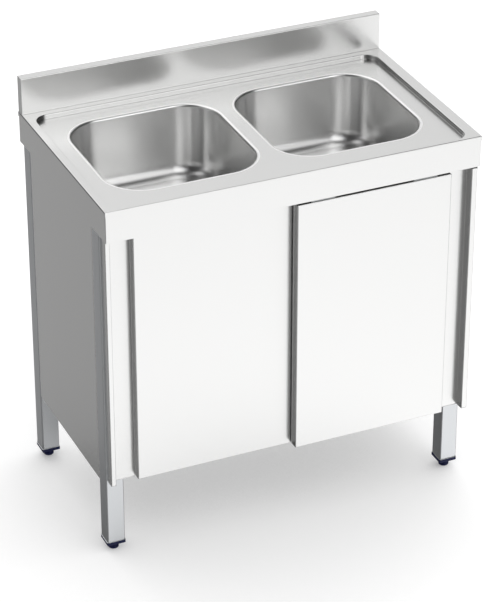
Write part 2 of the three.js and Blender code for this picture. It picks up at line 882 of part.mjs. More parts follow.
addPiece("worktop", worktop(), "satinSteel");
for (const side of ["left", "right"]) {
  addPiece(`bowl_${side}`, bowl(bowlCentres[side]), "bowlSteel");
  addDrain(side);
  for (const end of ["front", "back"]) addLeg(side, end);
  addPiece(`side_panel_${side}`, sidePanel(side), "satinSteel");
}
addPiece("back_panel", backPanel(), "satinSteel");
addPiece("bottom_shelf", shelf(), "satinSteel");
addPiece("rail_front", rail(legYs.front + panelGroove, railWidth), "satinSteel");
addPiece("rail_back", rail(legYs.back + gap, backRailWidth), "satinSteel");
addPiece("front_post_left", leftPost(), "satinSteel");
addPiece("front_post_right", rightPost(), "satinSteel");
addPiece("door_track", track(), "aluminium");
addDoor("left_door", leftDoor);
addDoor("right_door", rightDoor);
addGuide();

const sinkUnit = new THREE.Group();
sinkUnit.add(unit);
export default sinkUnit;
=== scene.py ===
"""Looks of the kitchen sink unit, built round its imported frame.

Sizes are in millimetres from the floor and the front left corner of the worktop, and at() turns
such a place into the frame's metres.
"""

import json
import math

import bmesh
import bpy
from mathutils import Euler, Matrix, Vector


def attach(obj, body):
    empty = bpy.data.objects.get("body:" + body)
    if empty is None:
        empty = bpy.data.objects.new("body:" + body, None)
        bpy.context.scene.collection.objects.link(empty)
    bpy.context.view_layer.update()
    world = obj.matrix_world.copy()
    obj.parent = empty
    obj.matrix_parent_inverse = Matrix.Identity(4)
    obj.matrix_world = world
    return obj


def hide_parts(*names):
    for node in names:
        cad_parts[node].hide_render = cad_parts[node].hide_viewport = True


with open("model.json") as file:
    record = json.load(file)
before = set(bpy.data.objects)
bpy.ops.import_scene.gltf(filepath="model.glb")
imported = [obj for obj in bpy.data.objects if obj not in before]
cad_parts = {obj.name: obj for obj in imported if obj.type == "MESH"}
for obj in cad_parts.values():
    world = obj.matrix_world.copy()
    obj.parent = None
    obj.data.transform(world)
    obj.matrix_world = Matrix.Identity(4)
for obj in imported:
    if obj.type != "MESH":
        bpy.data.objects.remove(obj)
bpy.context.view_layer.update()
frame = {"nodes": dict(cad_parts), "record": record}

# The unit's sizes, as in the CAD source
UNIT_LENGTH, UNIT_DEPTH = 850.0, 508.0
TOP, DECK, APRON_BOTTOM = 853.0, 842.5, 781.0
SHEET = 1.5
APRON_SIDE, APRON_FRONT = 1.5, 2.0
BAND_HEIGHT = 11.0
UPSTAND_TOP, UPSTAND_FRONT, UPSTAND_INSET = 936.0, 486.0, 1.75
RECESS = (19.0, 823.0, 8.0, 466.5, 30.0)
BOWL_LENGTH, BOWL_WIDTH, BOWL_CORNER = 333.0, 338.0, 82.0
BOWL_CENTRES = {"left": 228.5, "right": 607.0}
BOWL_CENTRE_Y = 249.0
BOWL_SHEET, BOWL_LIP, BOWL_TAPER, BOWL_FILLET = 1.2, 5.0, 6.0, 30.0
BOWL_FLOOR, DRAIN_SEAT = 682.5, 678.5
DRAIN_SEAT_RADIUS, DRAIN_HOLE_RADIUS = 39.0, 24.4

# Points nearer than this are one, in metres
WELD = 2e-6
# The mark of a face, kept as its material index until its corner normals are made
FLAT, ROUND = 0, 1
# Neighbouring round faces share a normal where the cosine between them is above this
SMOOTH_COSINE = 0.5
Y_AXIS, Z_AXIS = 1, 2
# Faces nearer to one plane than this angle are one, and edges sharper than the second one are
# bends or cut edges, both in degrees
PLANE_ANGLE, BEND_ANGLE = 0.5, 25
# The most of a face's width that a bend along one of its edges takes
BEND_SHARE = 0.45
# A face of a turned piece is one of its ends where its normal has this much of the axis
END_COSINE = 0.99
# A face narrower than this is the cut edge of a sheet, in metres
CUT_EDGE_WIDTH = 0.0024


def at(x, y, z):
    """A place in the frame, in metres."""
    return Vector((x - UNIT_LENGTH / 2, y - UNIT_DEPTH / 2, z)) / 1000


# ---------------------------------------------------------------- materials
def new_material(name):
    material = bpy.data.materials.new(name)
    material.use_nodes = True
    tree = material.node_tree
    return material, tree, tree.nodes["Principled BSDF"]


def add(tree, kind, **settings):
    """A node with its properties and input values set."""
    node = tree.nodes.new(kind)
    for key, value in settings.items():
        if key.startswith("in_"):
            slot = key[3:]
            node.inputs[int(slot) if slot.isdigit() else slot.replace("_", " ")].default_value = value
        else:
            setattr(node, key, value)
    return node


def constant_vector(tree, parts):
    """An output that gives one vector, for inputs that hold none themselves."""
    x, y, z = parts
    return add(tree, "ShaderNodeCombineXYZ", in_X=x, in_Y=y, in_Z=z).outputs[0]


# A face looks to a side where its normal has this much X
SIDE_FACING = 0.75
# Most of a noise lies between these
NOISE_LOW, NOISE_HIGH = 0.3, 0.7
# How much the clouds add to the grain, and the range of both together
CLOUD_SHARE, CLOUD_SCALE = 0.35, 5.0
GRAIN_LOW, GRAIN_HIGH = 0.4, 0.95
# Across the grain, with a little Y so that it never lies along the normal of a level face
ACROSS_GRAIN = (0.0, 0.05, 1.0)
# Depths of the relief, in metres, and how far moulded pieces vary in gloss and shade
BRUSH_RELIEF, MOULD_RELIEF = 0.00002, 0.00005
MOULD_SPREAD, MOULD_GRAIN = 0.06, 0.15
# How much coarser the unevenness in shade is than the texture
COARSER = 30


def grain_coordinates(tree, along, across):
    """Coordinates drawn out along a level grain: along X, or along Y where a face looks to a side."""
    place = add(tree, "ShaderNodeTexCoord")
    facing = add(tree, "ShaderNodeSeparateXYZ")
    tree.links.new(facing.inputs[0], place.outputs["Normal"])
    size = add(tree, "ShaderNodeMath", operation="ABSOLUTE")
    tree.links.new(size.inputs[0], facing.outputs["X"])
    side = add(tree, "ShaderNodeMath", operation="GREATER_THAN", in_1=SIDE_FACING)
    tree.links.new(side.inputs[0], size.outputs[0])
    long_x = add(tree, "ShaderNodeVectorMath", operation="MULTIPLY", in_1=(along, across, across))
    long_y = add(tree, "ShaderNodeVectorMath", operation="MULTIPLY", in_1=(across, along, across))
    for node in (long_x, long_y):
        tree.links.new(node.inputs[0], place.outputs["Object"])
    mix = add(tree, "ShaderNodeMix", data_type="VECTOR")
    tree.links.new(mix.inputs["Factor"], side.outputs[0])
    tree.links.new(mix.inputs[4], long_x.outputs[0])
    tree.links.new(mix.inputs[5], long_y.outputs[0])
    return place, mix.outputs[1]


def uneven_gloss(tree, shader, noise, roughness, spread):
    """Roughness that follows a noise, up to spread on either side."""
    low, high = roughness - spread, roughness + spread
    rough = add(tree, "ShaderNodeMapRange", in_1=NOISE_LOW, in_2=NOISE_HIGH, in_3=low, in_4=high)
    tree.links.new(rough.inputs[0], noise.outputs["Fac"])
    tree.links.new(shader.inputs["Roughness"], rough.outputs[0])


def uneven_colour(tree, shader, factor, colour, grain):
    """A colour that goes from a little darker to a little lighter with a factor."""
    tint = add(tree, "ShaderNodeMix", data_type="RGBA")
    tint.inputs[6].default_value = [c * (1 - grain) for c in colour] + [1]
    tint.inputs[7].default_value = [min(1, c * (1 + grain)) for c in colour] + [1]
    tree.links.new(tint.inputs["Factor"], factor)
    tree.links.new(shader.inputs["Base Color"], tint.outputs[2])


def raise_surface(tree, shader, noise, strength, depth):
    relief = add(tree, "ShaderNodeBump", in_Strength=strength, in_Distance=depth)
    tree.links.new(relief.inputs["Height"], noise.outputs["Fac"])
    tree.links.new(shader.inputs["Normal"], relief.outputs[0])


def brushed_metal(name, colour, roughness, spread, grain, bump, along=6.0, across=1500.0, drawn_out=0.0):
    """Metal with a fine brushed grain, which moves its roughness, shade and surface a little.

    The grain repeats along and across times per metre, and drawn_out is how far highlights stretch
    across it.
    """
    material, tree, shader = new_material(name)
    place, stretched = grain_coordinates(tree, along, across)
    lines = add(tree, "ShaderNodeTexNoise", in_Scale=1.0, in_Detail=5.0, in_Roughness=0.6)
    tree.links.new(lines.inputs["Vector"], stretched)
    clouds = add(tree, "ShaderNodeTexNoise", in_Scale=CLOUD_SCALE, in_Detail=3.0)
    tree.links.new(clouds.inputs["Vector"], place.outputs["Object"])
    uneven_gloss(tree, shader, lines, roughness, spread)
    both = add(tree, "ShaderNodeMath", operation="MULTIPLY_ADD", in_1=CLOUD_SHARE)
    tree.links.new(both.inputs[0], clouds.outputs["Fac"])
    tree.links.new(both.inputs[2], lines.outputs["Fac"])
    shade = add(tree, "ShaderNodeMapRange", in_1=GRAIN_LOW, in_2=GRAIN_HIGH, in_3=0.0, in_4=1.0)
    tree.links.new(shade.inputs[0], both.outputs[0])
    uneven_colour(tree, shader, shade.outputs[0], colour, grain)
    shader.inputs["Metallic"].default_value = 1.0
    shader.inputs["Anisotropic"].default_value = drawn_out
    tree.links.new(shader.inputs["Tangent"], constant_vector(tree, ACROSS_GRAIN))
    raise_surface(tree, shader, lines, bump, BRUSH_RELIEF)
    return material


def moulded(name, colour, roughness, scale, bump, sheen=0.0, subsurface=0.0, specular=0.5):
    """Moulded plastic, rubber or board: a fine texture, with a little unevenness in shade and gloss."""
    material, tree, shader = new_material(name)
    place = add(tree, "ShaderNodeTexCoord")
    fine = add(tree, "ShaderNodeTexNoise", in_Scale=scale, in_Detail=4.0)
    coarse = add(tree, "ShaderNodeTexNoise", in_Scale=scale / COARSER, in_Detail=2.0)
    for node in (fine, coarse):
        tree.links.new(node.inputs["Vector"], place.outputs["Object"])
    uneven_colour(tree, shader, coarse.outputs["Fac"], colour, MOULD_GRAIN)
    uneven_gloss(tree, shader, fine, roughness, MOULD_SPREAD)
    raise_surface(tree, shader, fine, bump, MOULD_RELIEF)
    shader.inputs["Sheen Weight"].default_value = sheen
    shader.inputs["Subsurface Weight"].default_value = subsurface
    shader.inputs["Specular IOR Level"].default_value = specular
    return material


METALS = {
    "satin_steel": {
        "colour": (0.80, 0.80, 0.795), "roughness": 0.26, "spread": 0.01, "grain": 0.004, "bump": 0.01,
        "along": 5.0, "across": 2600.0, "drawn_out": 0.2,
    },
    "tube_steel": {
        "colour": (0.66, 0.675, 0.69), "roughness": 0.33, "spread": 0.03, "grain": 0.02, "bump": 0.06,
        "along": 5.0, "across": 2600.0,
    },
    # Painted light in part: the bowls' steel is lighter than the worktop's so that the reflections in
    # the bowls come out brighter; its roughness, grain and drawn-out highlights are the bowls' own
    # brushed finish.
    "bowl_steel": {
        "colour": (0.96, 0.96, 0.955), "roughness": 0.29, "spread": 0.01, "grain": 0.006, "bump": 0.01,
        "along": 40.0, "across": 2600.0, "drawn_out": 0.45,
    },
    "zinc_steel": {
        "colour": (0.55, 0.57, 0.58), "roughness": 0.42, "spread": 0.05, "grain": 0.05, "bump": 0.15,
        "along": 60.0, "across": 400.0,
    },
    "track_aluminium": {
        "colour": (0.66, 0.67, 0.69), "roughness": 0.36, "spread": 0.04, "grain": 0.02, "bump": 0.12,
    },
}
MOULDINGS = {
    "navy_plastic": {
        "colour": (0.008, 0.011, 0.055), "roughness": 0.42, "scale": 1800.0,
        "bump": 0.20, "specular": 0.2,
    },
    "white_nylon": {
        "colour": (0.78, 0.76, 0.70), "roughness": 0.45, "scale": 1500.0,
        "bump": 0.15, "subsurface": 0.1,
    },
    "black_rubber": {
        "colour": (0.02, 0.02, 0.022), "roughness": 0.75, "scale": 1200.0,
        "bump": 0.35, "sheen": 0.1,
    },
    "grey_plastic": {"colour": (0.16, 0.17, 0.18), "roughness": 0.5, "scale": 1500.0, "bump": 0.2},
    "deadening_board": {"colour": (0.55, 0.43, 0.25), "roughness": 0.9, "scale": 500.0, "bump": 0.8},
}
MATERIALS = {name: brushed_metal(name, **look) for name, look in METALS.items()}
MATERIALS.update({name: moulded(name, **look) for name, look in MOULDINGS.items()})
SLOT_OF = {s["node"]: s["material_slot"] for s in frame["record"]["subparts"]}


# ---------------------------------------------------------------- meshes
def corner_normals(mesh):
    """Normals that keep flat faces flat and turn smoothly over the round faces between them."""
    around = [[] for _ in mesh.vertices]
    for face in mesh.polygons:
        for v in face.vertices:
            around[v].append(face.index)
    faces = mesh.polygons
    normals = []
    for face in faces:
        for v in face.vertices:
            if face.material_index == FLAT:
                normals.append(face.normal)
                continue
            near = [faces[i] for i in around[v] if faces[i].normal.dot(face.normal) > SMOOTH_COSINE]
            flats = [f for f in near if f.material_index == FLAT]
            if flats:
                normals.append(max(flats, key=lambda f: f.normal.dot(face.normal)).normal)
            else:
                total = sum((f.normal * f.area for f in near), Vector())
                normals.append(total.normalized())
    mesh.polygons.foreach_set("use_smooth", [True] * len(faces))
    mesh.polygons.foreach_set("material_index", [0] * len(faces))
    mesh.normals_split_custom_set(normals)


def new_piece(name, mesh, body, slot, *nodes):
    """A finished piece that rides on a body and stands for CAD nodes."""
    mesh.materials.clear()
    mesh.materials.append(MATERIALS[slot])
    piece = bpy.data.objects.new(name, mesh)
    bpy.context.scene.collection.objects.link(piece)
    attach(piece, body)
    if nodes:
        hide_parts(*nodes)
    return piece


def add_mark_slots(mesh):
    """Two material slots, so that faces can carry the marks FLAT and ROUND."""
    for _ in (FLAT, ROUND):
        mesh.materials.append(MATERIALS["satin_steel"])


def reach(face, edge):
    """How far a face goes from one of its edges."""
    a = edge.verts[0].co
    along = (edge.verts[1].co - a).normalized()
    return max(((v.co - a) - along * (v.co - a).dot(along)).length for v in face.verts)


def bent(bm, outer, inner, cut, steps=4):
    """The mesh of a sharp sheet-metal solid with round bends and broken cut edges, sizes in metres."""
    layers = bm.edges.layers.float
    weights = layers.get("bevel_weight_edge") or layers.new("bevel_weight_edge")
    for edge in bm.edges:
        if len(edge.link_faces) != 2 or edge.calc_face_angle(0) < math.radians(BEND_ANGLE):
            continue
        shorter = min(reach(f, edge) for f in edge.link_faces)
        size = cut if shorter < CUT_EDGE_WIDTH else (outer if edge.is_convex else inner)
        edge[weights] = min(1.0, min(size, shorter * BEND_SHARE) / outer)
    mesh = bpy.data.meshes.new("sharp")
    bm.to_mesh(mesh)
    bm.free()
    add_mark_slots(mesh)
    sharp = bpy.data.objects.new("sharp", mesh)
    bpy.context.scene.collection.objects.link(sharp)
    bevel = sharp.modifiers.new("bends", "BEVEL")
    bevel.limit_method = "WEIGHT"
    bevel.offset_type = "OFFSET"
    bevel.width = outer
    bevel.segments = steps
    bevel.material = ROUND
    bevel.use_clamp_overlap = False
    bevel.miter_outer = "MITER_ARC"
    done = bpy.data.meshes.new_from_object(sharp.evaluated_get(bpy.context.evaluated_depsgraph_get()))
    bpy.data.objects.remove(sharp)
    corner_normals(done)
    return done


def cad_solid(node, turned=None):
    """A CAD node's mesh with its doubled points joined and each flat face in one.

    Where turned names an axis, the faces round that axis are one smooth surface.
    """
    bm = bmesh.new()
    bm.from_mesh(frame["nodes"][node].data)
    bmesh.ops.remove_doubles(bm, verts=bm.verts, dist=WELD)
    bmesh.ops.dissolve_limit(bm, angle_limit=math.radians(PLANE_ANGLE), verts=bm.verts, edges=bm.edges)
    bm.faces.ensure_lookup_table()
    for face in bm.faces:
        flat = turned is None or abs(face.normal[turned]) > END_COSINE
        face.material_index = FLAT if flat else ROUND
    return bm


def body_of(node):
    return next(b for b, nodes in frame["record"]["behaviour"]["bodies"].items() if node in nodes)


def dress(node, outer, inner=0.0008, cut=0.0003, steps=4, turned=None):
    """Stands for a CAD node with a copy whose bends and edges are round, sizes in metres."""
    mesh = bent(cad_solid(node, turned), outer, inner, cut, steps)
    mesh.name = node + "_finished"
    return new_piece(node + "_finished", mesh, body_of(node), SLOT_OF[node], node)


class Shell:
    """A surface made of rings of points, each face marked flat or round."""

    def __init__(self):
        self.points, self.faces, self.marks = [], [], []

    def ring(self, points):
        first = len(self.points)
        self.points += [at(*p) for p in points]
        return list(range(first, len(self.points)))

    def skin(self, a, b, mark):
        for i in range(len(a)):
            j = (i + 1) % len(a)
            self.faces.append((a[i], a[j], b[j], b[i]))
            self.marks.append(mark)

    def through(self, rings, marks):
        """Skins from each ring to the next; a mark stands for the strip after its ring."""
        made = [self.ring(r) for r in rings]
        for a, b, mark in zip(made, made[1:], marks):
            self.skin(a, b, mark)
        return made

    def fill(self, outer, holes, up):
        """Fills a level face between a ring and the holes in it."""
        bm = bmesh.new()
        for ring in [outer, *holes]:
            verts = [bm.verts.new(self.points[i]) for i in ring]
            for i, v in enumerate(verts):
                bm.edges.new((v, verts[(i + 1) % len(verts)]))
        names = {v: i for v, i in zip(bm.verts, [i for r in [outer, *holes] for i in r])}
        bmesh.ops.triangle_fill(bm, use_beauty=True, use_dissolve=False, edges=bm.edges)
        for face in bm.faces:
            corners = [names[v] for v in face.verts]
            face.normal_update()
            if (face.normal.z > 0) != up:
                corners.reverse()
            self.faces.append(tuple(corners))
            self.marks.append(FLAT)
        bm.free()

    def mesh(self, name):
        mesh = bpy.data.meshes.new(name)
        mesh.from_pydata(self.points, [], self.faces)
        mesh.update()
        add_mark_slots(mesh)
        mesh.polygons.foreach_set("material_index", self.marks)
        bm = bmesh.new()
        bm.from_mesh(mesh)
        bmesh.ops.remove_doubles(bm, verts=bm.verts, dist=WELD)
        bmesh.ops.dissolve_degenerate(bm, edges=bm.edges, dist=WELD)
        bm.to_mesh(mesh)
        bm.free()
        mesh.update()
        corner_normals(mesh)
        return mesh


def outline(x0, x1, y0, y1, radius, z, corner_steps, side_steps=1):
    """A level rounded rectangle, anticlockwise seen from above."""
    corners = [(x1 - radius, y0 + radius, -90), (x1 - radius, y1 - radius, 0)]
    corners += [(x0 + radius, y1 - radius, 90), (x0 + radius, y0 + radius, 180)]
    points = []
    for cx, cy, start in corners:
        for i in range(corner_steps + 1):
            a = math.radians(start + 90 * i / corner_steps)
            points.append((cx + radius * math.cos(a), cy + radius * math.sin(a), z))
    if side_steps == 1:
        return points
    full = []
    count = corner_steps + 1
    for c in range(4):
        arc = points[c * count:(c + 1) * count]
        end = points[((c + 1) * count) % len(points)]
        full += arc
        for i in range(1, side_steps):
            s = i / side_steps
            full.append(tuple(a + (b - a) * s for a, b in zip(arc[-1], end)))
    return full


def quarter(steps):
    return [math.pi / 2 * i / steps for i in range(steps + 1)]


# ---------------------------------------------------------------- worktop
# Radii of the rim, of the band's foot and top, of the recess's step and of the corners in plan
TOP_EDGE = 2.5
BAND_FOOT, BAND_EDGE = 0.6, 0.5
STEP_TOP, STEP_FOOT = 2.0, 1.2
PLAN_CORNER, LEAST_CORNER = 1.4, 0.4
# How much the apron's cut edge is broken
CUT_BREAK = 0.4
# Width of deck that belongs to a bowl round its rounded lip
WELD_LAND = 3.0
OUTER_STEPS, RECESS_STEPS, BOWL_STEPS, BOWL_SIDE_STEPS = 5, 12, 18, 8


def outer_ring(side, front, back, z, corner):
    """The worktop's outline, drawn in from the unit's sides, front and back."""
    radius = max(corner, LEAST_CORNER)
    return outline(side, UNIT_LENGTH - side, front, UNIT_DEPTH - back, radius, z, OUTER_STEPS)


def recess_ring(grow, z):
    x0, x1, y0, y1, radius = RECESS
    return outline(x0 - grow, x1 + grow, y0 - grow, y1 + grow, radius + grow, z, RECESS_STEPS)


def bowl_ring(side, grow, z, side_steps=BOWL_SIDE_STEPS):
    x, y = BOWL_CENTRES[side], BOWL_CENTRE_Y
    a, b = BOWL_LENGTH / 2 + grow, BOWL_WIDTH / 2 + grow
    return outline(x - a, x + a, y - b, y + b, BOWL_CORNER + grow, z, BOWL_STEPS, side_steps)


def build_worktop():
    shell = Shell()
    band = TOP - BAND_HEIGHT
    # Outside, from the cut edge of the apron up to the rim
    side, front, edge = APRON_SIDE + CUT_BREAK, APRON_FRONT + CUT_BREAK, PLAN_CORNER - CUT_BREAK
    rings = [outer_ring(side, front, CUT_BREAK, APRON_BOTTOM, edge)]
    rings.append(outer_ring(APRON_SIDE, APRON_FRONT, 0, APRON_BOTTOM + CUT_BREAK, PLAN_CORNER))
    marks = [ROUND, FLAT]
    for a in quarter(3):
        out = BAND_FOOT * (1 - math.cos(a))
        z = band - BAND_FOOT + BAND_FOOT * math.sin(a)
        rings.append(outer_ring(APRON_SIDE - out, APRON_FRONT - out, 0, z, PLAN_CORNER))
        marks.append(ROUND)
    marks[-1] = FLAT
    for a in quarter(3):
        inset = BAND_EDGE - BAND_EDGE * math.sin(a)
        z = band + BAND_EDGE - BAND_EDGE * math.cos(a)
        rings.append(outer_ring(inset, inset, 0, z, PLAN_CORNER))
        marks.append(ROUND)
    marks[-1] = FLAT
    for a in quarter(5):
        inset = TOP_EDGE * (1 - math.cos(a))
        z = TOP - TOP_EDGE + TOP_EDGE * math.sin(a)
        rings.append(outer_ring(inset, inset, inset, z, PLAN_CORNER - inset))
        marks.append(ROUND)
    marks.pop()
    outside = shell.through(rings, marks)
    # The recess: a round edge, a step and a round foot down to the deck
    rings, marks = [], []
    for a in quarter(6):
        rings.append(recess_ring(STEP_TOP * (1 - math.sin(a)), TOP - STEP_TOP * (1 - math.cos(a))))
        marks.append(ROUND)
    marks[-1] = FLAT
    for a in quarter(6):
        grow = -STEP_FOOT * (1 - math.cos(a))
        rings.append(recess_ring(grow, DECK + STEP_FOOT * (1 - math.sin(a))))
        marks.append(ROUND)
    marks.pop()
    recess = shell.through(rings, marks)
    shell.fill(outside[-1], [recess[0]], True)
    # The deck and its underside, with the holes that the bowls are welded into
    holes, under_holes = [], []
    for side in BOWL_CENTRES:
        upper = shell.ring(bowl_ring(side, BOWL_LIP + WELD_LAND, DECK, 1))
        lower = shell.ring(bowl_ring(side, BOWL_LIP + WELD_LAND, DECK - SHEET, 1))
        shell.skin(upper, lower, FLAT)
        holes.append(upper)
        under_holes.append(lower)
    shell.fill(recess[-1], holes, True)
    under = shell.through([recess_ring(SHEET, DECK - SHEET), recess_ring(SHEET, TOP - SHEET)], [FLAT])
    shell.fill(under[0], under_holes, False)
    side, front, corner = APRON_SIDE + SHEET, APRON_FRONT + SHEET, PLAN_CORNER - SHEET
    inner = [outer_ring(side, front, SHEET, z, corner) for z in (TOP - SHEET, APRON_BOTTOM)]
    inner = shell.through(inner, [FLAT])
    shell.fill(inner[0], [under[1]], False)
    shell.skin(inner[1], outside[0], FLAT)
    add_upstand(shell)
    name = "worktop_finished"
    return new_piece(name, shell.mesh(name), "frame", "satin_steel", "worktop")


# Radii of the upstand's bend, front edge and back edge, and of the softening at its ends
UPSTAND_BEND, UPSTAND_EDGE, UPSTAND_BACK_EDGE, UPSTAND_SOFTEN = 1.2, 2.2, 1.5, 0.5
# The upstand goes this far into the rim, and its bend starts this far above it
UPSTAND_SINK, UPSTAND_LIFT = 1.0, 0.02


def add_upstand(shell):
    """The upstand, folded up from the rim: its section drawn along the unit, softened at both ends."""
    bend, edge, back_edge = UPSTAND_BEND, UPSTAND_EDGE, UPSTAND_BACK_EDGE
    section, marks = [], []

    def arc(cy, cz, radius, start, sweep, steps=5):
        for i in range(steps + 1):
            a = math.radians(start + sweep * i / steps)
            section.append((cy + radius * math.cos(a), cz + radius * math.sin(a)))
            marks.append(ROUND if i < steps else FLAT)

    arc(UNIT_DEPTH - back_edge, UPSTAND_TOP - back_edge, back_edge, 0, 90)
    arc(UPSTAND_FRONT + edge, UPSTAND_TOP - edge, edge, 90, 90)
    arc(UPSTAND_FRONT - bend, TOP + bend + UPSTAND_LIFT, bend, 0, -90)
    section += [(UPSTAND_FRONT - bend, TOP - UPSTAND_SINK), (UNIT_DEPTH, TOP - UPSTAND_SINK)]
    marks += [FLAT, FLAT]
    cy, cz = (UPSTAND_FRONT + UNIT_DEPTH) / 2, (TOP + UPSTAND_TOP) / 2
    ends = []
    for x, inset in (
        (UPSTAND_INSET, UPSTAND_SOFTEN),
        (UPSTAND_INSET + UPSTAND_SOFTEN, 0),
        (UNIT_LENGTH - UPSTAND_INSET - UPSTAND_SOFTEN, 0),
        (UNIT_LENGTH - UPSTAND_INSET, UPSTAND_SOFTEN),
    ):
        ring = []
        for y, z in section:
            dy = inset if y < cy else -inset
            ring.append((x, y + dy, z - (inset if z > cz else 0)))
        ends.append(shell.ring(ring))
    for a, b, kind in zip(ends, ends[1:], (ROUND, None, ROUND)):
        for i in range(len(a)):
            j = (i + 1) % len(a)
            shell.faces.append((a[i], a[j], b[j], b[i]))
            shell.marks.append(marks[i] if kind is None else kind)
    shell.faces.append(tuple(reversed(ends[0])))
    shell.faces.append(tuple(ends[-1]))
    shell.marks += [FLAT, FLAT]


# ---------------------------------------------------------------- bowls
# Shares of the way down the wall, and of the way in over the floor, where rings lie
WALL_SHARES = (0.03, 0.2, 0.4, 0.6, 0.8, 0.97)
FLOOR_SHARES = (0.04, 0.2, 0.4, 0.6, 0.8, 0.92, 1.0)
# The floor falls to the drain as this power of the way in
FALL_POWER = 1.4


def build_bowl(side):
    """A pressed bowl: an inner and an outer skin, from the weld in the deck down to the drain's hole."""
    shell = Shell()
    x, y = BOWL_CENTRES[side], BOWL_CENTRE_Y

    def drain_point(px, py, radius):
        """The point at a radius from the drain's centre on the line to another point."""
        a = math.atan2(py - y, px - x)
        return x + radius * math.cos(a), y + radius * math.sin(a)

    def wall(z):
        """How far the wall has drawn in at a height."""
        top, foot = DECK - BOWL_LIP, BOWL_FLOOR + BOWL_FILLET
        return BOWL_TAPER * (top - z) / (top - foot)

    def skin_rings(off):
        """Rings from the rim down to the drain seat; off is how far they lie outside the inner face."""
        rings = []
        lip = BOWL_LIP - off
        for a in quarter(8):
            grow = BOWL_LIP - lip * math.sin(a)
            rings.append(bowl_ring(side, grow, DECK - BOWL_LIP + lip * math.cos(a)))
        for share in WALL_SHARES:
            z = DECK - BOWL_LIP - share * (DECK - BOWL_LIP - BOWL_FLOOR - BOWL_FILLET)
            rings.append(bowl_ring(side, off - wall(z), z))
        fillet = BOWL_FILLET + off
        for a in quarter(12):
            grow = -(BOWL_TAPER + BOWL_FILLET - fillet * math.cos(a))
            rings.append(bowl_ring(side, grow, BOWL_FLOOR + BOWL_FILLET - fillet * math.sin(a)))
        edge = rings[-1]
        for share in FLOOR_SHARES:
            z = BOWL_FLOOR - off - (BOWL_FLOOR - DRAIN_SEAT) * share ** FALL_POWER
            ring = []
            for px, py, _ in edge:
                qx, qy = drain_point(px, py, DRAIN_SEAT_RADIUS)
                ring.append((px + (qx - px) * share, py + (qy - py) * share, z))
            rings.append(ring)
        z = DRAIN_SEAT - off
        rings.append([(*drain_point(px, py, DRAIN_HOLE_RADIUS), z) for px, py, _ in edge])
        return rings

    inner = [bowl_ring(side, BOWL_LIP + WELD_LAND, DECK)] + skin_rings(0)
    outer = [bowl_ring(side, BOWL_LIP + WELD_LAND, DECK - BOWL_SHEET)] + skin_rings(BOWL_SHEET)
    made = shell.through(inner, [FLAT] + [ROUND] * (len(inner) - 3) + [FLAT])
    made_outer = [shell.ring(r) for r in outer]
    for a, b in zip(made_outer, made_outer[1:]):
        shell.skin(b, a, ROUND)
    shell.skin(made_outer[0], made[0], FLAT)
    shell.skin(made[-1], made_outer[-1], FLAT)
    name = f"bowl_{side}_finished"
    return new_piece(name, shell.mesh(name), "frame", "bowl_steel", f"bowl_{side}")


# ---------------------------------------------------------------- drains
# Radius, height over the seat and the mark of the strip that follows, from the bottom of the tail
# round to the bottom of the bore
WASTE_PROFILE = [
    (23.5, -52.0, ROUND), (23.9, -51.6, FLAT), (23.9, 0.05, FLAT), (34.8, 0.05, ROUND),
    (35.0, 0.3, FLAT), (35.0, 0.9, ROUND), (34.7, 1.3, ROUND), (34.0, 1.75, ROUND),
    (33.0, 2.0, ROUND), (31.0, 1.98, FLAT), (24.6, 1.3, ROUND), (23.4, 1.0, ROUND),
    (22.9, 0.4, FLAT), (22.45, -3.5, ROUND), (22.2, -3.9, ROUND), (21.6, -4.0, ROUND),
    (21.0, -4.4, FLAT), (21.0, -51.7, ROUND), (21.3, -52.0, FLAT),
]
WASTE_STEPS = 72


def build_waste(side):
    """The flanged waste, turned from a ring of points for each corner of its profile."""
    shell = Shell()
    rings, marks = [], []
    for radius, height, mark in WASTE_PROFILE:
        ring = []
        for i in range(WASTE_STEPS):
            a = 2 * math.pi * i / WASTE_STEPS
            x, y = BOWL_CENTRES[side] + radius * math.cos(a), BOWL_CENTRE_Y + radius * math.sin(a)
            ring.append((x, y, DRAIN_SEAT + height))
        rings.append(ring)
        marks.append(mark)
    made = shell.through(rings, marks)
    shell.skin(made[-1], made[0], marks[-1])
    name = f"drain_waste_{side}_finished"
    return new_piece(name, shell.mesh(name), "frame", "bowl_steel", f"drain_waste_{side}")


build_worktop()
for side in BOWL_CENTRES:
    build_bowl(side)
    build_waste(side)
    dress(f"drain_strainer_{side}", outer=0.0005, inner=0.0003, cut=0.0002, steps=2, turned=Z_AXIS)
    dress(f"drain_gasket_{side}", outer=0.0005, inner=0.0003, steps=2, turned=Z_AXIS)
    dress(f"drain_nut_{side}", outer=0.0010, inner=0.0003, steps=2)

# ---------------------------------------------------------------- sheet-metal pieces
for side in ("left", "right"):
    dress(f"side_panel_{side}", outer=0.0018)
    dress(f"front_post_{side}", outer=0.0018, inner=0.0006)
    dress(f"{side}_door_skin", outer=0.0022)
    for end in ("front", "back"):
        dress(f"leg_{end}_{side}", outer=0.0030, inner=0.0015)
        dress(f"foot_insert_{end}_{side}", outer=0.0012, inner=0.0004, cut=0.0002)
        dress(f"foot_pad_{end}_{side}", outer=0.0010, inner=0.0004, cut=0.0004, steps=2)
dress("back_panel", outer=0.0018)
dress("bottom_shelf", outer=0.0024)
dress("rail_front", outer=0.0020)
dress("rail_back", outer=0.0020)

